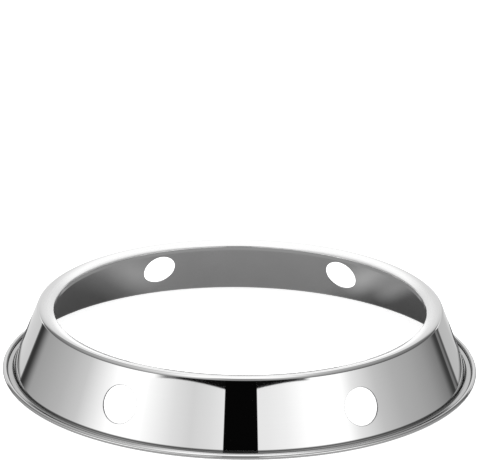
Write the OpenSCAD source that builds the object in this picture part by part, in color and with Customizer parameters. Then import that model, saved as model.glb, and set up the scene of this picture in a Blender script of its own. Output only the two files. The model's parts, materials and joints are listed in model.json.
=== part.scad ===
// Wok ring: one pressed steel sheet that steadies a round-bottomed wok over a burner.
// It stands on its wide flange, with the wok seat on top. The origin is the middle of the foot,
// on the surface that the ring stands on, and +Z is the ring's axis.

/* [Sheet] */
// Thickness of the steel sheet
sheet_t = 0.75; // [0.6:0.05:0.9]
// Angle between the points that a bend is drawn with
bend_step = 7.5; // [5:2.5:15]

/* [Whole ring] */
// Height from the floor to the top of the shoulder
ring_h = 34.5; // [28:0.5:45]
// Outer diameter over the curled edge of the foot flange
foot_d = 247.6; // [246:0.2:270]
// Diameter of the opening, inside the turned-down lip of the seat
opening_d = 193.5; // [170:0.5:196]

/* [Tapered wall] */
// Outer diameter of the wall's straight line where it meets the floor
wall_foot_d = 238; // [230:0.5:239]
// Outer diameter of the wall's straight line at the full height of the ring
wall_top_d = 210; // [206:0.5:216]
// Radius of the hollow bend between the flange and the wall, on its outer side
foot_bend_r = 1.2; // [0.8:0.1:1.8]
// Radius of the shoulder between the wall and the seat, on its outer side
shoulder_r = 2.5; // [1.5:0.1:4]

/* [Seat] */
// Angle at which the middle of the seat falls towards the opening
seat_fall = 16; // [8:0.5:20]
// Angle that the crown of the seat turns through, from the shoulder to the lip's bend
seat_crown = 14; // [2:1:16]
// Radius of the bend between the seat and the lip, on its outer side
lip_bend_r = 1.1; // [1:0.1:2]
// Height of the turned-down lip, from the top of its bend to its sheared edge
lip_h = 2.7; // [2.4:0.1:4]

/* [Curled edge] */
// Outer radius of the curl that stiffens the edge of the flange
curl_r = 1.2; // [1.1:0.05:1.6]
// Angle that the sheet turns through in the curl
curl_turn = 280; // [250:5:285]

/* [Vent holes] */
// Number of vent holes around the wall
vent_count = 6; // [3:1:8]
// Diameter of a vent hole
vent_d = 18.7; // [10:0.1:20]
// Height of the middle of a vent hole above the floor
vent_z = 16.5; // [14:0.5:18]
// Share of the punching's drift that the vents keep: 1 as punched, 0 evenly spaced
vent_drift = 1; // [0:0.25:1]

/* [Hidden] */
$fn = 180;
STEEL = [0.82, 0.83, 0.85];
foot_r = foot_d / 2;
opening_r = opening_d / 2;
wall_foot_r = wall_foot_d / 2;
wall_slope = (wall_foot_d - wall_top_d) / 2 / ring_h;
wall_lean = atan(wall_slope);
wall_face = [cos(wall_lean), sin(wall_lean)];
// Directions that the seat faces at the shoulder and at the lip's bend
seat_outside = 90 + seat_fall - seat_crown / 2;
seat_inside = 90 + seat_fall + seat_crown / 2;
// How far a vent's punch reaches on each side of the sheet
punch_reach = 4 * sheet_t;
// How far each vent was punched off its even place, in degrees
DRIFT = [0, -0.5, -5.6, 0, -0.9, 1.8];

// Radius of the wall's outer side at a height
function wall_r(z) = wall_foot_r - wall_slope * z;

// The middle of a bend of radius r that the wall's outer side runs into at height z.
// A hollow bend, outside the wall, has a negative radius.
function beside_wall(z, r) = [(wall_face * [wall_foot_r, 0] - r - wall_face[1] * z) / wall_face[0], z];

function facing(a) = [cos(a), sin(a)];

curl_mid = [foot_r - curl_r, curl_r];
foot_bend_mid = beside_wall(sheet_t + foot_bend_r, -foot_bend_r);
shoulder_mid = beside_wall(ring_h - shoulder_r, shoulder_r);
// Radius and middle of the seat's crown, which joins the shoulder to the lip's bend
seat_r = (opening_r + lip_bend_r * (1 + cos(seat_inside)) - shoulder_mid[0] - shoulder_r * cos(seat_outside))
    / (cos(seat_inside) - cos(seat_outside));
seat_mid = shoulder_mid + (shoulder_r - seat_r) * facing(seat_outside);
lip_bend_mid = seat_mid + (seat_r - lip_bend_r) * facing(seat_inside);
lip_edge_mid = lip_bend_mid - [0, lip_h - lip_bend_r];

// Each bend of the sheet, from the lip to the curl, is the middle of its circle, the radius of the
// sheet's outer side, and the directions that this side faces before and after it.
// A radius is negative where the outer side is hollow. The lip's sheared edge turns by nothing.
BENDS = [
    [lip_edge_mid, lip_bend_r, 180, 180],
    [lip_bend_mid, lip_bend_r, 180, seat_inside],
    [seat_mid, seat_r, seat_inside, seat_outside],
    [shoulder_mid, shoulder_r, seat_outside, wall_lean],
    [foot_bend_mid, -foot_bend_r, wall_lean, 90],
    [curl_mid, sheet_t - curl_r, 90, 90 + curl_turn]
];

// Points along one bend, at a depth below the sheet's outer side
function bend_points(bend, depth) =
    let (turn = bend[3] - bend[2], n = max(1, ceil(abs(turn) / bend_step)))
    [for (i = [(turn == 0 ? n : 0) : n])
        let (a = bend[2] + turn * i / n)
        bend[0] + (bend[1] - depth) * facing(a)];

// One side of the sheet, from the lip to the curl
function sheet_side(depth) = [for (bend = BENDS) each bend_points(bend, depth)];

function reversed(list) = [for (i = [len(list) - 1 : -1 : 0]) list[i]];

// Section of the pressed sheet, with radius along X and height along Y
module sheet_section() {
    polygon(concat(sheet_side(0), reversed(sheet_side(sheet_t))));
}

// Turn of a vent about the ring's axis
function vent_turn(i) = i * 360 / vent_count + vent_drift * (i < len(DRIFT) ? DRIFT[i] : 0);

// Punch for one vent, square to the wall
module vent_punch() {
    translate([wall_r(vent_z), 0, vent_z])
        rotate([0, 90 - wall_lean, 0])
            cylinder(d = vent_d, h = 2 * punch_reach, center = true);
}

module wok_ring() {
    color(STEEL)
        difference() {
            rotate_extrude() sheet_section();
            for (i = [0 : vent_count - 1])
                rotate([0, 0, vent_turn(i)]) vent_punch();
        }
}

wok_ring();
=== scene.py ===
"""Wok ring of polished sheet steel on a plain studio floor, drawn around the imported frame."""
import json
import math

import bpy
import numpy as np
from mathutils import Matrix, Vector


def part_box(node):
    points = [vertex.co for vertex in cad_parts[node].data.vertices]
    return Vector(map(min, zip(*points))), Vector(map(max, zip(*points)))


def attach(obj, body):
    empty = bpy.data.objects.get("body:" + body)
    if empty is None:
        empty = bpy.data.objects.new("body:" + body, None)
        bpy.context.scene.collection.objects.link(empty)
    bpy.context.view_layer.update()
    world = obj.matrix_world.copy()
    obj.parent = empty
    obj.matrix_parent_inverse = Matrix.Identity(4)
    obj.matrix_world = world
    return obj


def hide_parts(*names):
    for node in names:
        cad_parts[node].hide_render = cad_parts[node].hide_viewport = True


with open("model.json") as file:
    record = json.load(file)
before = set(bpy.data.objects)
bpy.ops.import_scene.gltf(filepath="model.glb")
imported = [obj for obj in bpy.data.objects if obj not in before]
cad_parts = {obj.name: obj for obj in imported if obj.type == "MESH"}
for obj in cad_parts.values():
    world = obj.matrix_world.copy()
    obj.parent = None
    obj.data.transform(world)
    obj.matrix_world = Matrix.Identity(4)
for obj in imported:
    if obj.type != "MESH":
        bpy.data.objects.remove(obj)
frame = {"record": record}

bl_info = {
    "name": "Wok Ring",
    "version": (1, 0, 0),
    "blender": (4, 5, 0),
    "location": "3D View > Sidebar > Wok Ring",
    "description": "Makes a polished wok ring and the studio that it stands in",
    "category": "Add Mesh",
}

RING_LOW, RING_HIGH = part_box("wok_ring")
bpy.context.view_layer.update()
STEEL = tuple(frame["record"]["materials"][0]["base_color"])
SIDE_POLISHED, SIDE_UNDER, SIDE_SHEARED = range(3)
# How far each vent was punched off its even place, in degrees
DRIFT = (0, -0.5, -5.6, 0, -0.9, 1.8)


# Settings

def length(name, description, default, lowest, highest):
    """A length in metres, with sensible ends for its slider."""
    return bpy.props.FloatProperty(
        name=name, description=description, default=default, min=lowest, max=highest,
        subtype="DISTANCE", unit="LENGTH", precision=5)


def angle(name, description, degrees, lowest, highest):
    """An angle, given here in degrees."""
    return bpy.props.FloatProperty(
        name=name, description=description, default=math.radians(degrees),
        min=math.radians(lowest), max=math.radians(highest), subtype="ANGLE", unit="ROTATION")


def share(name, description, default):
    """A number from 0 to 1."""
    return bpy.props.FloatProperty(
        name=name, description=description, default=default, min=0, max=1, subtype="FACTOR")


def colour(name, description, default):
    """A colour."""
    return bpy.props.FloatVectorProperty(
        name=name, description=description, default=default, min=0, max=1, size=3, subtype="COLOR")


class WokRingSizes(bpy.types.PropertyGroup):
    """The ring's sizes, which repeat the frame's"""
    sheet_t: length("Sheet", "Thickness of the steel sheet", 0.00075, 0.0006, 0.0009)
    ring_h: length("Height", "Height from the floor to the top of the shoulder",
                   round(RING_HIGH.z, 4), 0.028, 0.045)
    foot_d: length("Foot", "Outer diameter over the curled edge of the foot flange",
                   round(RING_HIGH.x - RING_LOW.x, 5), 0.246, 0.27)
    opening_d: length("Opening", "Diameter of the opening inside the lip", 0.1935, 0.17, 0.196)
    wall_foot_d: length("Wall at the floor", "Outer diameter of the wall's line at the floor",
                        0.238, 0.23, 0.239)
    wall_top_d: length("Wall at the top", "Outer diameter of the wall's line at the full height",
                       0.21, 0.206, 0.216)
    foot_bend_r: length("Foot bend", "Radius of the hollow bend between flange and wall",
                        0.0012, 0.0008, 0.0018)
    shoulder_r: length("Shoulder", "Radius of the bend between wall and seat",
                       0.0025, 0.0015, 0.004)
    seat_fall: angle("Seat fall", "Angle at which the middle of the seat falls towards the opening",
                     16, 8, 20)
    seat_crown: angle("Seat crown", "Angle that the crown of the seat turns through", 14, 2, 16)
    lip_bend_r: length("Lip bend", "Radius of the bend between seat and lip", 0.0011, 0.001, 0.002)
    lip_h: length("Lip", "Height of the turned-down lip", 0.0027, 0.0024, 0.004)
    curl_r: length("Curl", "Outer radius of the curled edge", 0.0012, 0.0011, 0.0016)
    curl_turn: angle("Curl turn", "Angle that the sheet turns through in the curl", 280, 250, 285)
    vent_count: bpy.props.IntProperty(
        name="Vents", description="Number of vent holes around the wall", default=6, min=3, max=8)
    vent_d: length("Vent", "Diameter of a vent hole", 0.0187, 0.01, 0.02)
    vent_z: length("Vent height", "Height of a vent's middle above the floor", 0.0165, 0.014, 0.018)
    vent_drift: share("Vent drift", "Share of the punching's drift that the vents keep", 1)
    edge_r: length("Punched edge", "Radius that the punch draws at a vent's edge",
                   0.00022, 0.00002, 0.0003)


class WokRingFinish(bpy.types.PropertyGroup):
    """Colours and gloss of the steel"""
    polish_colour: colour("Polished side", "Colour of the polished outer side",
                          (sum(STEEL) / 3,) * 3)
    polish_roughness: share("Polished roughness", "Roughness of the polished side", 0.01)
    seat_wear: share("Seat wear", "How matt the wok has rubbed the seat's inner edge", 0.3)
    # How dark the painted shade in the wall's foot is
    crease_shade_depth: share("Crease", "How dark the polish's residue is in the wall's foot", 0.9)
    crease_z: length("Crease height", "Height of the residue's middle", 0.0021, 0, 0.01)
    crease_width: length("Crease width", "How far the residue reaches up and down",
                         0.0007, 0.0001, 0.01)
    under_colour: colour("Under side", "Colour of the sheet's under side", (0.78, 0.78, 0.78))
    under_roughness: share("Under side roughness", "Roughness of the under side", 0.24)
    sheared_colour: colour("Sheared edges", "Colour of the punched and sheared edges",
                           (0.48, 0.48, 0.49))
    sheared_roughness: share("Sheared roughness", "Roughness of the sheared edges", 0.3)


class WokRingStudio(bpy.types.PropertyGroup):
    """The floor, the light and the camera"""
    floor_colour: colour("Floor", "Colour of the plain floor", (0.9, 0.9, 0.9))
    floor_glow: share("Floor glow", "How much the floor is lit through from below", 0.7)
    table_colour: colour("Table", "Colour of the table that the steel mirrors", (0.12, 0.12, 0.12))
    table_glow: share("Table glow", "How much that table is lit through from below", 0.195)
    sky_colour: colour("Sky", "Colour of the light tent", (1.0, 1.0, 1.0))
    sky_strength: bpy.props.FloatProperty(
        name="Light", description="Brightness of the light tent", default=1.18, min=0, max=5)
    camera_distance: length("Camera distance", "Distance from the ring's foot to the camera",
                            1.1544, 0.3, 5)
    camera_elevation: angle("Camera elevation", "Height of the camera above the horizon",
                            21.66, 0, 90)
    camera_tilt: angle("Camera tilt", "How far above the ring's foot the camera points",
                       3.396, -20, 20)
    camera_swing: angle("Camera swing", "How far to the right of the ring's foot the camera points",
                        -0.029, -20, 20)
    camera_roll: angle("Camera roll", "Turn of the camera about its own axis", 0.708, -20, 20)
    camera_lens: bpy.props.FloatProperty(
        name="Lens", description="Focal length for a sensor 36 mm wide", default=164.39,
        min=20, max=300, subtype="DISTANCE_CAMERA", unit="CAMERA")


# Shader nodes

# Slope of a line's sides: at 1 only its middle has the full strength, and above 1 more of it has
LINE_FIRMNESS = 1.6
BLACK = (0.0, 0.0, 0.0, 1.0)
WHITE = (1.0, 1.0, 1.0, 1.0)
# Near-black of the painted shade in the steel's creases and of the painted shadow on the mirrored
# table
PAINTED_SHADE_BLACK = (0.02, 0.02, 0.02, 1.0)
PALE_WEAR = (0.9, 0.9, 0.9, 1.0)


class Reading:
    """A number that changes over a surface. Arithmetic on it adds Math nodes."""

    def __init__(self, nodes, socket):
        self.nodes = nodes
        self.socket = socket

    def worked(self, operation, *others):
        node = self.nodes.add("ShaderNodeMath", {"operation": operation},
                              dict(enumerate((self, *others))))
        return Reading(self.nodes, node.outputs[0])

    def reflected(self, operation, first):
        node = self.nodes.add("ShaderNodeMath", {"operation": operation}, {0: first, 1: self})
        return Reading(self.nodes, node.outputs[0])

    def __add__(self, other):
        return self.worked("ADD", other)

    __radd__ = __add__

    def __sub__(self, other):
        return self.worked("SUBTRACT", other)

    def __rsub__(self, other):
        return self.reflected("SUBTRACT", other)

    def __mul__(self, other):
        return self.worked("MULTIPLY", other)

    __rmul__ = __mul__

    def __truediv__(self, other):
        return self.worked("DIVIDE", other)

    def __rtruediv__(self, other):
        return self.reflected("DIVIDE", other)

    def __pow__(self, other):
        return self.worked("POWER", other)

    def clamped(self):
        """Kept between 0 and 1."""
        return self.most(0.0).worked("MINIMUM", 1.0)

    def most(self, other):
        """The higher of the two."""
        return self.worked("MAXIMUM", other)

    def size(self):
        """The reading without its sign."""
        return self.worked("ABSOLUTE")

    def below(self, limit, soft):
        """1 well below a limit and 0 from the limit on."""
        return ((limit - self) / soft).clamped()

    def above(self, limit, soft):
        """0 up to a limit and 1 well above it."""
        return ((self - limit) / soft).clamped()

    def line(self, middle, reach):
        """1 at a middle and 0 from its reach on, to both sides."""
        return ((1.0 - (self - middle).size() / reach) * LINE_FIRMNESS).clamped()


class Nodes:
    """The node tree of one material or world."""

    def __init__(self, tree):
        self.tree = tree
        tree.nodes.clear()

    def add(self, kind, settings=None, inputs=None):
        """Adds a node: its settings first, then the values or links of its sockets."""
        node = self.tree.nodes.new(kind)
        for name, value in (settings or {}).items():
            setattr(node, name, value)
        for name, value in (inputs or {}).items():
            socket = node.inputs[name]
            if isinstance(value, Reading):
                self.tree.links.new(value.socket, socket)
            elif isinstance(value, bpy.types.NodeSocket):
                self.tree.links.new(value, socket)
            else:
                socket.default_value = value
        return node

    def place(self):
        """The surface's own coordinates, as a vector and as x, y and z."""
        spot = self.add("ShaderNodeTexCoord").outputs["Object"]
        parts = self.add("ShaderNodeSeparateXYZ", None, {"Vector": spot}).outputs
        return spot, [Reading(self, part) for part in parts]

    def vector(self, x, y, z):
        return self.add("ShaderNodeCombineXYZ", None, {"X": x, "Y": y, "Z": z}).outputs[0]

    def noise(self, vector, scale, detail, roughness):
        node = self.add(
            "ShaderNodeTexNoise", {"noise_dimensions": "3D"},
            {"Vector": vector, "Scale": scale, "Detail": detail, "Roughness": roughness})
        return Reading(self, node.outputs["Fac"])

    def blend(self, factor, first, second):
        """A colour between two colours."""
        node = self.add("ShaderNodeMix", {"data_type": "RGBA"},
                        {"Factor": factor, "A": first, "B": second})
        return node.outputs["Result"]

    def bump(self, height, distance):
        """The surface's facing over bumps of some height in metres."""
        node = self.add("ShaderNodeBump", None, {"Height": height, "Distance": distance})
        return node.outputs["Normal"]

    def finish(self, inputs, covered=None, cover=None):
        """Ends the tree with a Principled shader, under a share of a matt cover of some colour."""
        surface = self.add("ShaderNodeBsdfPrincipled", None, inputs).outputs["BSDF"]
        if covered is not None:
            matt = self.add("ShaderNodeBsdfPrincipled", None,
                            {"Base Color": cover, "Roughness": 0.9, "Specular IOR Level": 0.0})
            surface = self.add("ShaderNodeMixShader", None,
                               {0: covered, 1: surface, 2: matt.outputs["BSDF"]}).outputs[0]
        self.add("ShaderNodeOutputMaterial", None, {"Surface": surface})


def new_material(name):
    made = bpy.data.materials.new(name)
    made.use_nodes = True
    return made, Nodes(made.node_tree)


def shade(tone, by):
    """A colour made lighter or darker, with its alpha."""
    return (*[min(1.0, part * by) for part in tone], 1.0)


def polished_steel(finish, sizes):
    """Mirror-polished outer side, with faint rings from the buffing wheel, the press's slow waves,
    painted shade in the corners and a rubbed band on the seat."""
    made, nodes = new_material("polished_steel")
    spot, (x, y, z) = nodes.place()
    radius = (x * x + y * y) ** 0.5
    # The buffing rings change quickly across the sheet and hardly around it
    rings = nodes.noise(nodes.vector(radius * 1400 + x * 9, z * 1400, y * 9),
                        scale=1.0, detail=3.0, roughness=0.6)
    haze = nodes.noise(spot, scale=55.0, detail=4.0, roughness=0.6)
    waves = nodes.noise(spot, scale=26.0, detail=1.0, roughness=0.4)
    cloud = rings * 0.5 + haze * 0.5

    # Painted shade: a near-black matt cover darkens a line up the wall's foot and the corner under
    # it, lies more thinly over the flange, and fills the gap between the flange and the curl
    soft = 0.0004
    flange_shade_top, corner_top = sizes.sheet_t + 0.00065, sizes.sheet_t + 0.00145
    curl_inside = sizes.foot_d / 2 - 2 * sizes.curl_r
    low = z.below(flange_shade_top, soft)
    painted_shade = z.line(finish.crease_z, finish.crease_width).most(low * 0.25)
    painted_shade = painted_shade * radius.below(curl_inside + 2 * soft, 2 * soft)
    corner = z.below(corner_top, soft) * radius.below(sizes.wall_foot_d / 2, 2 * soft)
    gap = radius.line(curl_inside, 0.0007) * low
    painted_shade = painted_shade.most(corner).most(gap) * finish.crease_shade_depth

    # The band of the seat that the wok rubs ends above the lip
    band_end, band_low = sizes.opening_d / 2 + 0.00585, sizes.ring_h - 0.0025
    worn = radius.below(band_end, 0.003) * z.above(band_low, 0.0005) * finish.seat_wear

    # Height over which the cover changes from painted shade to wear
    painted_shade_top, change = 0.01, 0.01
    cover = nodes.blend(z.above(painted_shade_top, change), PAINTED_SHADE_BLACK, PALE_WEAR)
    nodes.finish(
        {"Base Color": nodes.blend(cloud.clamped(), shade(finish.polish_colour, 0.98),
                                   shade(finish.polish_colour, 1.02)),
         "Metallic": 1.0,
         "Roughness": finish.polish_roughness * 0.6 + cloud * finish.polish_roughness * 0.8,
         "Normal": nodes.bump(waves, 0.000004)},
        painted_shade.most(worn), cover)
    return made


def under_steel(finish):
    """The sheet's under side: bright but only rolled, so duller and a little cloudy."""
    made, nodes = new_material("under_steel")
    spot, (x, y, z) = nodes.place()
    cloud = nodes.noise(spot, scale=40.0, detail=5.0, roughness=0.65)
    grain = nodes.noise(nodes.vector(x * 2600, y * 320, z * 2600),
                        scale=1.0, detail=2.0, roughness=0.5)
    tone = nodes.blend((cloud * 0.7 + grain * 0.3).clamped(),
                       shade(finish.under_colour, 0.9), shade(finish.under_colour, 1.1))
    rough = finish.under_roughness * 0.8 + cloud * finish.under_roughness * 0.4
    nodes.finish({
        "Base Color": tone, "Metallic": 1.0, "Roughness": rough,
        "Normal": nodes.bump(grain + cloud, 0.000015)})
    return made


def sheared_steel(finish):
    """Edges left by the punch and the shears: a burnished band and a torn one."""
    made, nodes = new_material("sheared_steel")
    spot, _ = nodes.place()
    tear = nodes.noise(spot, scale=3200.0, detail=3.0, roughness=0.7)
    tone = nodes.blend(tear, shade(finish.sheared_colour, 0.88), shade(finish.sheared_colour, 1.08))
    rough = finish.sheared_roughness * 0.75 + tear * finish.sheared_roughness * 0.5
    nodes.finish({
        "Base Color": tone, "Metallic": 1.0, "Roughness": rough,
        "Normal": nodes.bump(tear, 0.00001)})
    return made


# Shape of the sheet

# Degrees between the points of a bend and of the seat, on the polished side and on the under side
OUTER_STEPS, UNDER_STEPS = (7.5, 0.9), (10.0, 3.5)
# Columns of squares for each vent, and how many squares its window reaches from its middle
VENT_COLUMNS, WINDOW_HALF = 72, 10
# Rows of squares above and below the windows
ROWS_ABOVE, ROWS_BELOW = 4, 3
# Rings of squares around a vent, and steps of its drawn-in edge
PATCH_RINGS, EDGE_STEPS = 6, 3
# Least length of wall that a window leaves above and below it
WALL_MARGIN = 0.0008
# Steps in which a point of a vent's rim is brought onto the wall
RIM_STEPS = 12


def window_outline():
    """Squares to the right and down from a window's middle, seen from outside, to its outline."""
    half, side = WINDOW_HALF, range(2 * WINDOW_HALF)
    return np.array(
        [(half, k) for k in range(half)] + [(half - k, half) for k in side]
        + [(-half, half - k) for k in side] + [(k - half, -half) for k in side]
        + [(half, k - half) for k in range(half)]).T


# The points around a vent, on its window's outline and as turns about its axis. Both start at the
# right and go downwards.
OUTLINE_ACROSS, OUTLINE_DOWN = window_outline()
RIM_TURNS = np.arange(8 * WINDOW_HALF) * math.tau / (8 * WINDOW_HALF)
RIM_NEXT = np.roll(np.arange(8 * WINDOW_HALF), -1)


class Section:
    """The sheet's section, radius first and height second, worked out as in the part's source."""

    def __init__(self, sizes):
        self.sheet = sizes.sheet_t
        self.wall_foot_r = sizes.wall_foot_d / 2
        self.slope = (sizes.wall_foot_d - sizes.wall_top_d) / 2 / sizes.ring_h
        self.lean = math.atan(self.slope)
        self.face = np.array([math.cos(self.lean), math.sin(self.lean)])
        self.down = np.array([math.sin(self.lean), -math.cos(self.lean)])
        quarter = math.pi / 2
        curl_mid = np.array([sizes.foot_d / 2 - sizes.curl_r, sizes.curl_r])
        foot_mid = self.beside_wall(sizes.sheet_t + sizes.foot_bend_r, -sizes.foot_bend_r)
        shoulder_mid = self.beside_wall(sizes.ring_h - sizes.shoulder_r, sizes.shoulder_r)
        outside = quarter + sizes.seat_fall - sizes.seat_crown / 2
        inside = quarter + sizes.seat_fall + sizes.seat_crown / 2
        seat_r = ((sizes.opening_d / 2 + sizes.lip_bend_r * (1 + math.cos(inside)) - shoulder_mid[0]
                   - sizes.shoulder_r * math.cos(outside)) / (math.cos(inside) - math.cos(outside)))
        seat_mid = shoulder_mid + (sizes.shoulder_r - seat_r) * self.facing(outside)
        lip_mid = seat_mid + (seat_r - sizes.lip_bend_r) * self.facing(inside)
        lip_edge_mid = lip_mid - [0, sizes.lip_h - sizes.lip_bend_r]
        self.lip_edge = (lip_edge_mid, sizes.lip_bend_r, math.pi, math.pi)
        self.lip = (lip_mid, sizes.lip_bend_r, math.pi, inside)
        self.seat = (seat_mid, seat_r, inside, outside)
        self.shoulder = (shoulder_mid, sizes.shoulder_r, outside, self.lean)
        self.foot_bend = (foot_mid, -sizes.foot_bend_r, self.lean, quarter)
        self.curl = (curl_mid, sizes.sheet_t - sizes.curl_r, quarter, quarter + sizes.curl_turn)
        self.wall_top = self.bend_point(self.shoulder, self.lean, 0)
        self.wall_foot = self.bend_point(self.foot_bend, self.lean, 0)
        self.wall_run = float(np.linalg.norm(self.wall_foot - self.wall_top))

    def wall_r(self, z):
        return self.wall_foot_r - self.slope * z

    def beside_wall(self, z, r):
        """Middle of a bend of radius r that the wall's outer side runs into at height z."""
        along = self.face[0] * self.wall_foot_r - r - self.face[1] * z
        return np.array([along / self.face[0], z])

    @staticmethod
    def facing(a):
        return np.array([math.cos(a), math.sin(a)])

    def bend_point(self, bend, a, depth):
        return bend[0] + (bend[1] - depth) * self.facing(a)

    def wall_point(self, along, depth):
        """A point at a distance down the wall from its top end, at a depth below its outer side."""
        return (self.wall_top + np.multiply.outer(along, self.down)
                - np.multiply.outer(depth, self.face))

    def bend_run(self, bend, depth, step):
        """Points and facings of the sheet's outer side along a bend."""
        turn = bend[3] - bend[2]
        count = max(1, math.ceil(abs(math.degrees(turn)) / step - 1e-6)) if turn else 0
        angles = [bend[2] + turn * i / count for i in range(count + 1)] if count else [bend[2]]
        return [(self.bend_point(bend, a, depth), self.facing(a)) for a in angles]

    def side(self, depth, step, seat_step, rows):
        """One side of the sheet from the lip to the curl, and where its wall and curl begin."""
        run = self.bend_run(self.lip_edge, depth, step) + self.bend_run(self.lip, depth, step)
        run += self.bend_run(self.seat, depth, seat_step)[1:-1]
        run += self.bend_run(self.shoulder, depth, step)
        wall_at = len(run) - 1
        run += [(self.wall_point(along, depth), self.face) for along in rows[1:-1]]
        # The mirror shows the hollow bend's points the most, so it has twice as many
        run += self.bend_run(self.foot_bend, depth, step / 2)
        curl_at = len(run)
        run += self.bend_run(self.curl, depth, step)
        return run, wall_at, curl_at


class SheetMesh:
    """Gathers the ring's points, faces, facings and materials."""

    def __init__(self):
        self.points, self.count = [], 0
        self.faces, self.normals, self.sides = [], [], []

    def add_points(self, points):
        first = self.count
        self.points.append(np.asarray(points).reshape(-1, 3))
        self.count += len(self.points[-1])
        return first

    def add_faces(self, faces, normals, side):
        faces = np.asarray(faces).reshape(-1, 4)
        self.faces.append(faces)
        self.normals.append(np.asarray(normals).reshape(-1, 4, 3))
        self.sides.append(np.broadcast_to(np.asarray(side), (len(faces),)).astype(int))

    def make(self, name):
        points = np.concatenate(self.points)
        faces = np.concatenate(self.faces)
        normals = np.concatenate(self.normals)
        used, faces = np.unique(faces, return_inverse=True)
        faces = faces.reshape(-1, 4)
        mesh = bpy.data.meshes.new(name)
        mesh.from_pydata(points[used].tolist(), [], faces.tolist(), shade_flat=False)
        mesh.polygons.foreach_set("material_index", np.concatenate(self.sides))
        normals = normals / np.linalg.norm(normals, axis=2, keepdims=True)
        mesh.normals_split_custom_set(normals.reshape(-1, 3).tolist())
        mesh.update()
        return mesh


def turned(radius, height, azimuth):
    """Points of a turned surface."""
    radius, height, azimuth = np.broadcast_arrays(radius, height, azimuth)
    return np.stack([radius * np.cos(azimuth), radius * np.sin(azimuth), height], axis=-1)


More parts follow.
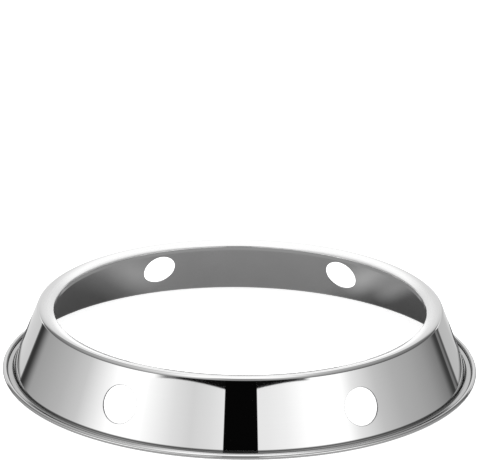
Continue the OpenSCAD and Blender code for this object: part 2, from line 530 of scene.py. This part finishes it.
class RingMesh(SheetMesh):
    """The whole sheet, as a grid with columns around the ring and rows along the section.

    Each vent takes a square window out of the wall's grid, on both sides of the sheet, and a patch
    of its own fills the window up to the vent's rim. The way is 1 on the polished side and -1 on
    the under side, where the rows run back up the wall.
    """

    def __init__(self, sizes):
        super().__init__()
        self.sizes, self.section = sizes, Section(sizes)
        self.columns = VENT_COLUMNS * sizes.vent_count
        self.pitch = math.tau / self.columns
        self.vent_turns = [
            math.tau * i / sizes.vent_count
            + sizes.vent_drift * math.radians(DRIFT[i] if i < len(DRIFT) else 0)
            for i in range(sizes.vent_count)]
        self.vent_along, self.window_reach = self.window_place()
        self.wall_rows, self.first_row = self.spaced_rows()
        self.add_turned_sheet()
        for turn in self.vent_turns:
            self.add_vent(turn)

    def window_place(self):
        """How far down the wall the windows' middles are, and how far up and down they reach."""
        section = self.section
        along = (section.wall_top[1] - self.sizes.vent_z) / math.cos(section.lean)
        half_width = WINDOW_HALF * self.pitch * section.wall_r(self.sizes.vent_z)
        return along, min(half_width, along - WALL_MARGIN, section.wall_run - along - WALL_MARGIN)

    def spaced_rows(self):
        """Places of the wall's rows down the wall, and the row where the windows begin."""
        steps_down = np.arange(-WINDOW_HALF, WINDOW_HALF + 1)
        window = self.vent_along + self.window_reach * steps_down / WINDOW_HALF
        above = np.linspace(0, window[0], ROWS_ABOVE + 1)[1:-1]
        below = np.linspace(window[-1], self.section.wall_run, ROWS_BELOW + 1)[1:-1]
        rows = np.array([0.0, *above, *window, *below, self.section.wall_run])
        return rows, 1 + len(above)

    def add_turned_sheet(self):
        """The turned section, without the squares in the windows."""
        section = self.section
        outer, wall_at, _ = section.side(0.0, *OUTER_STEPS, self.wall_rows)
        under, under_wall_at, curl_at = section.side(section.sheet, *UNDER_STEPS, self.wall_rows)
        loop = outer + [(spot, -facing) for spot, facing in reversed(under)]
        spots = np.array([spot for spot, _ in loop])
        facings = np.array([facing for _, facing in loop])
        self.rows, ahead = len(loop), np.roll(np.arange(len(loop)), -1)

        # Facings at both ends of each stretch of the section, and the finish it takes
        starts, ends = facings.copy(), facings[ahead]
        finishes = np.full(self.rows, SIDE_POLISHED)
        finishes[len(outer) + len(under) - 1 - curl_at:] = SIDE_UNDER
        for i in (len(outer) - 1, self.rows - 1):
            along = spots[ahead[i]] - spots[i]
            starts[i] = ends[i] = np.array([-along[1], along[0]]) / np.linalg.norm(along)
            finishes[i] = SIDE_SHEARED

        # Stretches and columns that the windows cut
        top = wall_at + self.first_row
        under_top = self.rows - 1 - under_wall_at - self.first_row
        self.window_top = {1: top, -1: under_top}
        depth = 2 * WINDOW_HALF
        cut = {*range(top, top + depth), *range(under_top - depth, under_top)}
        around = np.arange(self.columns)
        clear = ~np.any([(around - self.middle(turn) + WINDOW_HALF) % self.columns < depth
                         for turn in self.vent_turns], axis=0)

        azimuth, beside = around * self.pitch, (around + 1) % self.columns
        self.add_points(turned(spots[None, :, 0], spots[None, :, 1], azimuth[:, None]))
        for i, j in enumerate(ahead):
            a, b = (around[clear], beside[clear]) if i in cut else (around, beside)
            faces = np.stack([a, a, b, b], axis=1) * self.rows + [i, j, j, i]
            radial, upward = np.array([starts[i], ends[i], ends[i], starts[i]]).T
            spin = azimuth[np.stack([a, a, b, b], axis=1)]
            self.add_faces(faces, turned(radial, upward, spin), finishes[i])

    def middle(self, turn):
        """The column nearest to a vent's middle."""
        return round(turn / self.pitch)

    def add_vent(self, turn):
        """The wall around one vent, on both sides of the sheet, and the vent's punched edge."""
        cosine, sine = math.cos(turn), math.sin(turn)
        about = np.array([[cosine, -sine, 0], [sine, cosine, 0], [0, 0, 1]]).T
        rim = self.add_patch(turn, about, 1, 0.0, self.sizes.vent_d / 2 + self.sizes.edge_r)
        under_rim = self.add_patch(turn, about, -1, self.section.sheet, self.sizes.vent_d / 2)
        self.add_punched_edge(about, rim, under_rim)

    def rim_points(self, radius, depth):
        """Points about the axis of a vent that faces +X, at a depth below the wall's outer side."""
        section, height = self.section, self.sizes.vent_z
        middle = np.array([section.wall_r(height), 0, height])
        out = np.array([section.face[0], 0, section.face[1]])
        down = np.array([section.down[0], 0, section.down[1]])
        points = middle + radius * (np.outer(np.cos(RIM_TURNS), [0, 1, 0])
                                    + np.outer(np.sin(RIM_TURNS), down))
        for _ in range(RIM_STEPS):
            miss = np.hypot(points[:, 0], points[:, 1]) - section.wall_r(points[:, 2])
            points = points - np.outer(miss * section.face[0] + depth, out)
        return points

    def add_patch(self, turn, about, way, depth, rim_r):
        """The wall between a window's outline and a vent's rim, on one side of the sheet.

        Returns the rim's points and facings.
        """
        section, middle = self.section, self.middle(turn)
        rim = self.rim_points(rim_r, depth)
        rim_turn = np.arctan2(rim[:, 1], rim[:, 0])
        rim_along = ((section.wall_top[1] - depth * section.face[1] - rim[:, 2])
                     / math.cos(section.lean))
        edge_turn = (middle + OUTLINE_ACROSS) * self.pitch - turn
        edge_along = self.vent_along + self.window_reach * OUTLINE_DOWN / WINDOW_HALF
        points, normals = [], []
        for t in np.arange(PATCH_RINGS + 1) / PATCH_RINGS:
            spin = edge_turn * (1 - t) + rim_turn * t
            along = edge_along * (1 - t) + rim_along * t
            flat = section.wall_point(along, np.full(len(along), depth))
            points.append(turned(flat[:, 0], flat[:, 1], spin) @ about)
            normals.append(way * turned(section.face[0], section.face[1], spin) @ about)

        # The outermost ring's points are the grid's own
        first = self.add_points(np.array(points)[1:])
        inner = first + np.arange(PATCH_RINGS * len(RIM_TURNS)).reshape(PATCH_RINGS, -1)
        outline = ((middle + OUTLINE_ACROSS) % self.columns * self.rows
                   + self.window_top[way] + way * (OUTLINE_DOWN + WINDOW_HALF))
        index = np.vstack([outline, inner])
        finish = SIDE_POLISHED if way > 0 else SIDE_UNDER
        for i in range(PATCH_RINGS):
            self.add_band((index[i], normals[i]), (index[i + 1], normals[i + 1]), finish, way)
        return index[-1], normals[-1]

    def add_band(self, first, second, finish, way=1):
        """A closed band of squares between two rings of points, each with its facings."""
        (up, up_n), (low, low_n) = first, second
        faces = [up, low, low[RIM_NEXT], up[RIM_NEXT]][::way]
        normals = [up_n, low_n, low_n[RIM_NEXT], up_n[RIM_NEXT]][::way]
        self.add_faces(np.stack(faces, axis=1), np.stack(normals, axis=1), finish)

    def add_punched_edge(self, about, rim, under_rim):
        """The edge that the punch first draws in, and then shears straight through."""
        down = [self.section.down[0], 0, self.section.down[1]]
        inward = -(np.outer(np.cos(RIM_TURNS), [0, 1, 0])
                   + np.outer(np.sin(RIM_TURNS), down)) @ about
        edge_r, level = self.sizes.edge_r, rim
        for a in math.pi / 2 * np.arange(1, EDGE_STEPS + 1) / EDGE_STEPS:
            points = self.rim_points(self.sizes.vent_d / 2 + edge_r * (1 - math.sin(a)),
                                     edge_r * (1 - math.cos(a))) @ about
            lower = (self.add_points(points) + np.arange(len(RIM_TURNS)),
                     math.cos(a) * rim[1] + math.sin(a) * inward)
            self.add_band(level, lower, SIDE_SHEARED)
            level = lower
        self.add_band((level[0], inward), (under_rim[0], inward), SIDE_SHEARED)


# The studio

# Floor of the studio and the table that only the steel mirrors: depth under the foot and reach
FLOOR, TABLE = (0.0001, 4.0), (0.0002, 0.15)
FLOOR_SIDES = 64
# Columns and rows of a card, and the points along each of its soft ends
CARD_COLUMNS, CARD_ROWS, SOFT_POINTS = 48, 24, 9
# Highest elevation of a front card at each degree from its inner to its outer side
PANEL_TOP = [21.66 - 0.00187 * (azimuth - 5.1) ** 2 for azimuth in range(5, 53)]
# Cards that only the steel's mirror sees: name, azimuth from and to (0 is the camera's side and its
# right is positive), lowest elevation, highest elevation along the card, distance, brightness
# across the card, brightness up it, and how far its sides and its lower and upper ends fade. All
# angles are in degrees.
CARDS = [
    ("front_low", -14, 14, -40, (14, 14), 5.9, (0.42,), (1,), (5, 5), (1, 3)),
    ("camera_flag", -7.6, 9.6, 10, (30, 30), 6.0, (0.002,), (1,), (0.4, 0.4), (1, 6)),
    ("flag_top", -39, 37, 19.2, (30, 30), 6.6, (0.004,), (1,), (9, 9), (0.2, 6)),
    ("front_card_left", -52, -5, -40, PANEL_TOP[::-1], 6.4,
     (1.25, 1.06, 0.87, 0.76, 0.84, 0.96), (1,), (4, 0), (1, 0.03)),
    ("front_card_right", 5, 52, -40, PANEL_TOP, 6.4,
     (0.93, 0.96, 1.04, 1.2, 1.28, 1.28), (1,), (0, 4), (1, 0.03)),
    ("key_card_left", -74, -39, -40, (17, 21.4), 6.5, (1.28,), (1,), (12, 9), (1, 1)),
    ("key_card_right", 34, 62, -40, (21.4, 19), 6.5, (1.28,), (1,), (6, 12), (1, 1)),
    ("edge_strip_left", -138.5, -123, -60, (10, 10), 6.2, (0.04,), (1,), (2.5, 11), (2, 6)),
    ("edge_strip_right", 123.5, 132.9, -60, (10, 10), 6.2, (0.05,), (1,), (7, 1), (2, 6)),
    ("edge_strip_gap", 130, 135.6, -60, (10, 10), 6.3, (0.2,), (1,), (1, 1), (2, 6)),
    ("edge_strip_far", 133.4, 138.8, -60, (10, 10), 6.4, (0.09,), (1,), (1, 2), (2, 6)),
    ("side_card_left", -138, -60, -40, (16, 20), 6.8,
     (0.34, 0.39, 0.46, 0.54, 0.68, 1.05, 1.22), (1,), (0, 4), (1, 3)),
    ("side_card_right", 50, 137, -40, (20.5, 16), 6.8,
     (1.25, 0.9, 0.63, 0.5, 0.44, 0.36, 0.23, 0.15), (1,), (4, 0), (1, 3)),
    ("rear_card_left", -174, -135, -50, (14, 14), 6.9, (0.9, 0.72, 0.66), (1,), (4, 0), (2, 8)),
    ("rear_card_right", 134, 174, -50, (14, 14), 6.9, (0.55, 0.56, 0.95), (1,), (0, 4), (2, 8)),
    ("rear_card_top", 140, 220, 5, (36, 36), 7.4,
     (0.5, 0.72, 0.8, 0.72, 0.5), (1.1, 1, 0.95), (12, 12), (8, 12)),
    ("flag_high", -34, 34, 50, (78, 78), 7.6, (0.22,), (1,), (24, 24), (8, 10)),
    ("upper_shade", -168, 168, 14, (78, 78), 8.0,
     (0.26, 0.26, 0.3, 0.42, 0.22, 0.26, 0.2, 0.2, 0.24), (0.4, 0.85, 1.6, 2.4, 3.8),
     (16, 16), (1, 12)),
]


def placed(name, data):
    """A new object in the scene."""
    made = bpy.data.objects.new(name, data)
    bpy.context.scene.collection.objects.link(made)
    return made


def stage_piece(name, points, faces):
    """A piece of the studio, which is no part of the ring."""
    mesh = bpy.data.meshes.new(name)
    mesh.from_pydata(points, [], faces, shade_flat=False)
    made = placed(name, mesh)
    return made


def floor_piece(name, depth, reach):
    """A round sheet of floor."""
    rim = [(reach * math.cos(a), reach * math.sin(a), -depth)
           for a in np.linspace(0, math.tau, FLOOR_SIDES + 1)[:-1]]
    return stage_piece(name, rim, [tuple(range(FLOOR_SIDES))])


def ease(values):
    """Soft start and end for values from 0 to 1."""
    values = np.clip(values, 0, 1)
    return values * values * (3 - 2 * values)


def steps(start, end, soft_start, soft_end, between):
    """Places from start to end, closer together where a card runs out softly."""
    return np.unique(np.concatenate([
        np.linspace(start, start + soft_start, SOFT_POINTS), np.linspace(start, end, between + 1),
        np.linspace(end - soft_end, end, SOFT_POINTS)]))


def card_piece(name, start, end, low, high, distance, across, upward, soft_sides, soft_ends):
    """A bowed card, whose brightness changes evenly and whose sides and ends run out softly."""
    turn = steps(start, end, *soft_sides, CARD_COLUMNS)[:, None]
    top = np.interp(turn, np.linspace(start, end, len(high)), high)
    reach = max(high) - low
    share_up = steps(0, 1, soft_ends[0] / reach, soft_ends[1] / reach, CARD_ROWS)[None, :]
    columns, rows = turn.shape[0] - 1, share_up.shape[1] - 1
    rise = low + (top - low) * share_up
    glow = (np.interp(turn, np.linspace(start, end, len(across)), across)
            * np.interp(share_up, np.linspace(0, 1, len(upward)), upward))
    cover = np.ones_like(glow)
    for gap, soft in ((turn - start, soft_sides[0]), (end - turn, soft_sides[1]),
                      (rise - low, soft_ends[0]), (top - rise, soft_ends[1])):
        if soft:
            cover = cover * ease(gap / soft)
    a, b = np.broadcast_arrays(np.radians(turn), np.radians(rise))
    points = distance * np.stack(
        [np.sin(a) * np.cos(b), -np.cos(a) * np.cos(b), np.sin(b)], axis=-1)
    corner = (np.arange(columns)[:, None] * (rows + 1) + np.arange(rows)[None, :]).ravel()
    faces = corner[:, None] + [0, rows + 1, rows + 2, 1]
    made = stage_piece(name, points.reshape(-1, 3).tolist(), faces.tolist())

    material, nodes = new_material(name)
    looks = {}
    for kind, values in (("glow", glow), ("cover", cover)):
        made.data.attributes.new(kind, "FLOAT", "POINT").data.foreach_set("value", values.ravel())
        looks[kind] = nodes.add("ShaderNodeAttribute", {"attribute_name": kind}).outputs["Fac"]
    nodes.finish({"Base Color": BLACK, "Specular IOR Level": 0.0, "Roughness": 1.0,
                  "Emission Color": looks["glow"], "Emission Strength": 1.0,
                  "Alpha": looks["cover"]})
    made.data.materials.append(material)
    made.visible_camera = made.visible_diffuse = made.visible_shadow = False


def floor_material(name, tone, glow):
    """Plain pale floor with a barely seen paper grain."""
    made, nodes = new_material(name)
    spot, _ = nodes.place()
    grain = nodes.noise(spot, scale=900.0, detail=3.0, roughness=0.6)
    nodes.finish({
        "Base Color": nodes.blend(grain, shade(tone, 0.99), shade(tone, 1.01)), "Roughness": 0.9,
        "Specular IOR Level": 0.0, "Emission Color": WHITE, "Emission Strength": glow})
    return made


# Light that falls in through the vents: its middle on the table, its reach and its strength
VENT_LIGHT = [(0.055, 0.088, 0.012, 1.6), (0.069, 0.079, 0.011, 1.3), (-0.049, 0.092, 0.014, 0.7)]


def light_patch(x, y, middle_x, middle_y, reach, strength):
    """A round patch that fades out from its middle."""
    away = ((x - middle_x) ** 2.0 + (y - middle_y) ** 2.0) ** 0.5
    return away.below(reach, reach) * strength


def table_material(studio, sizes):
    """The table as the steel mirrors it: lit through in the ring, and shaded around its foot."""
    made, nodes = new_material("studio_table")
    _, (x, y, _) = nodes.place()
    radius = (x * x + y * y) ** 0.5
    soft = 0.003
    outside = radius.above(sizes.wall_foot_d / 2 - 0.002, soft)
    shaded = radius.above(sizes.foot_d / 2 + 0.0024, soft)
    # Inside the ring the middle is brighter than the sides, and the vents let light in
    lit = 1.0 - x.size().above(0.045, 0.03) * 0.8
    for patch in VENT_LIGHT:
        lit = lit + light_patch(x, y, *patch)
    inner_glow = (1.0 - outside) * lit * studio.table_glow
    # Around the foot a pale rim shows, and then the shade
    rim_glow = outside * (1.0 - shaded) * 0.4
    nodes.finish({
        # Outside the wall's foot the table is near-black: painted shadow around the ring
        "Base Color": nodes.blend(outside, (*studio.table_colour, 1.0), PAINTED_SHADE_BLACK),
        "Roughness": 0.9, "Specular IOR Level": 0.0,
        "Emission Color": inner_glow + rim_glow + shaded * 0.012, "Emission Strength": 1.0,
        "Alpha": radius.below(sizes.foot_d / 2 + 0.0152, 0.01)})
    return made


def studio_camera(studio):
    """The camera looks at the middle of the ring's foot, and is then tilted, swung and rolled."""
    rise = studio.camera_elevation
    back = Vector((0, -math.cos(rise), math.sin(rise)))
    ahead, right = -back, Vector((1, 0, 0))
    up = right.cross(ahead)
    tilt, swing = studio.camera_tilt, studio.camera_swing
    aim = (ahead * (math.cos(swing) * math.cos(tilt)) + right * (math.sin(swing) * math.cos(tilt))
           + up * math.sin(tilt))
    right = aim.cross(up).normalized()
    up = right.cross(aim)
    roll = studio.camera_roll
    right, up = (right * math.cos(roll) + up * math.sin(roll),
                 up * math.cos(roll) - right * math.sin(roll))
    data = bpy.data.cameras.new("studio_camera")
    data.lens, data.sensor_width = studio.camera_lens, 36.0
    data.clip_start, data.clip_end = 0.05, 50.0
    made = placed("studio_camera", data)
    turn = Matrix((right, up, -aim)).transposed()
    made.matrix_world = Matrix.Translation(back * studio.camera_distance) @ turn.to_4x4()
    bpy.context.scene.camera = made


# Operators

class WOKRING_OT_polished_ring(bpy.types.Operator):
    """Makes the polished ring over the frame's own ring"""
    bl_idname = "wok_ring.polished_ring"
    bl_label = "Polished Ring"

    def execute(self, context):
        sizes, finish = context.scene.wok_ring_sizes, context.scene.wok_ring_finish
        mesh = RingMesh(sizes).make("wok_ring_polished")
        for material in (polished_steel(finish, sizes), under_steel(finish), sheared_steel(finish)):
            mesh.materials.append(material)
        ring = placed("wok_ring_polished", mesh)
        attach(ring, "root")
        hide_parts("wok_ring")
        return {"FINISHED"}


class WOKRING_OT_studio(bpy.types.Operator):
    """Makes the floor, the light tent with its cards, and the camera"""
    bl_idname = "wok_ring.studio"
    bl_label = "Studio"

    def execute(self, context):
        studio = context.scene.wok_ring_studio
        floor = floor_piece("studio_floor", *FLOOR)
        floor.data.materials.append(
            floor_material("studio_floor", studio.floor_colour, studio.floor_glow))
        floor.visible_glossy = floor.visible_diffuse = floor.visible_shadow = False
        table = floor_piece("studio_table", *TABLE)
        table.data.materials.append(table_material(studio, context.scene.wok_ring_sizes))
        table.visible_camera = False
        for card in CARDS:
            card_piece(*card)
        world = bpy.data.worlds.new("light_tent")
        world.use_nodes = True
        nodes = Nodes(world.node_tree)
        tent = nodes.add("ShaderNodeBackground", None,
                         {"Color": (*studio.sky_colour, 1.0), "Strength": studio.sky_strength})
        nodes.add("ShaderNodeOutputWorld", None, {"Surface": tent.outputs[0]})
        context.scene.world = world
        context.scene.view_settings.view_transform = "Standard"
        studio_camera(studio)
        return {"FINISHED"}


class WOKRING_PT_panel(bpy.types.Panel):
    """Lists the wok ring's pieces, sizes and finishes"""
    bl_idname = "WOKRING_PT_panel"
    bl_label = "Wok Ring"
    bl_space_type = "VIEW_3D"
    bl_region_type = "UI"
    bl_category = "Wok Ring"

    def draw(self, context):
        for operator in (WOKRING_OT_polished_ring, WOKRING_OT_studio):
            self.layout.operator(operator.bl_idname)
        for settings in (context.scene.wok_ring_sizes, context.scene.wok_ring_finish,
                         context.scene.wok_ring_studio):
            box = self.layout.box()
            for name in settings.__annotations__:
                box.prop(settings, name)


CLASSES = (WokRingSizes, WokRingFinish, WokRingStudio, WOKRING_OT_polished_ring, WOKRING_OT_studio,
           WOKRING_PT_panel)


def register():
    for made in CLASSES:
        bpy.utils.register_class(made)
    bpy.types.Scene.wok_ring_sizes = bpy.props.PointerProperty(type=WokRingSizes)
    bpy.types.Scene.wok_ring_finish = bpy.props.PointerProperty(type=WokRingFinish)
    bpy.types.Scene.wok_ring_studio = bpy.props.PointerProperty(type=WokRingStudio)


def unregister():
    del bpy.types.Scene.wok_ring_studio
    del bpy.types.Scene.wok_ring_finish
    del bpy.types.Scene.wok_ring_sizes
    for made in reversed(CLASSES):
        bpy.utils.unregister_class(made)


def main():
    register()
    bpy.ops.wok_ring.polished_ring()
    bpy.ops.wok_ring.studio()


if __name__ == "__main__":
    main()
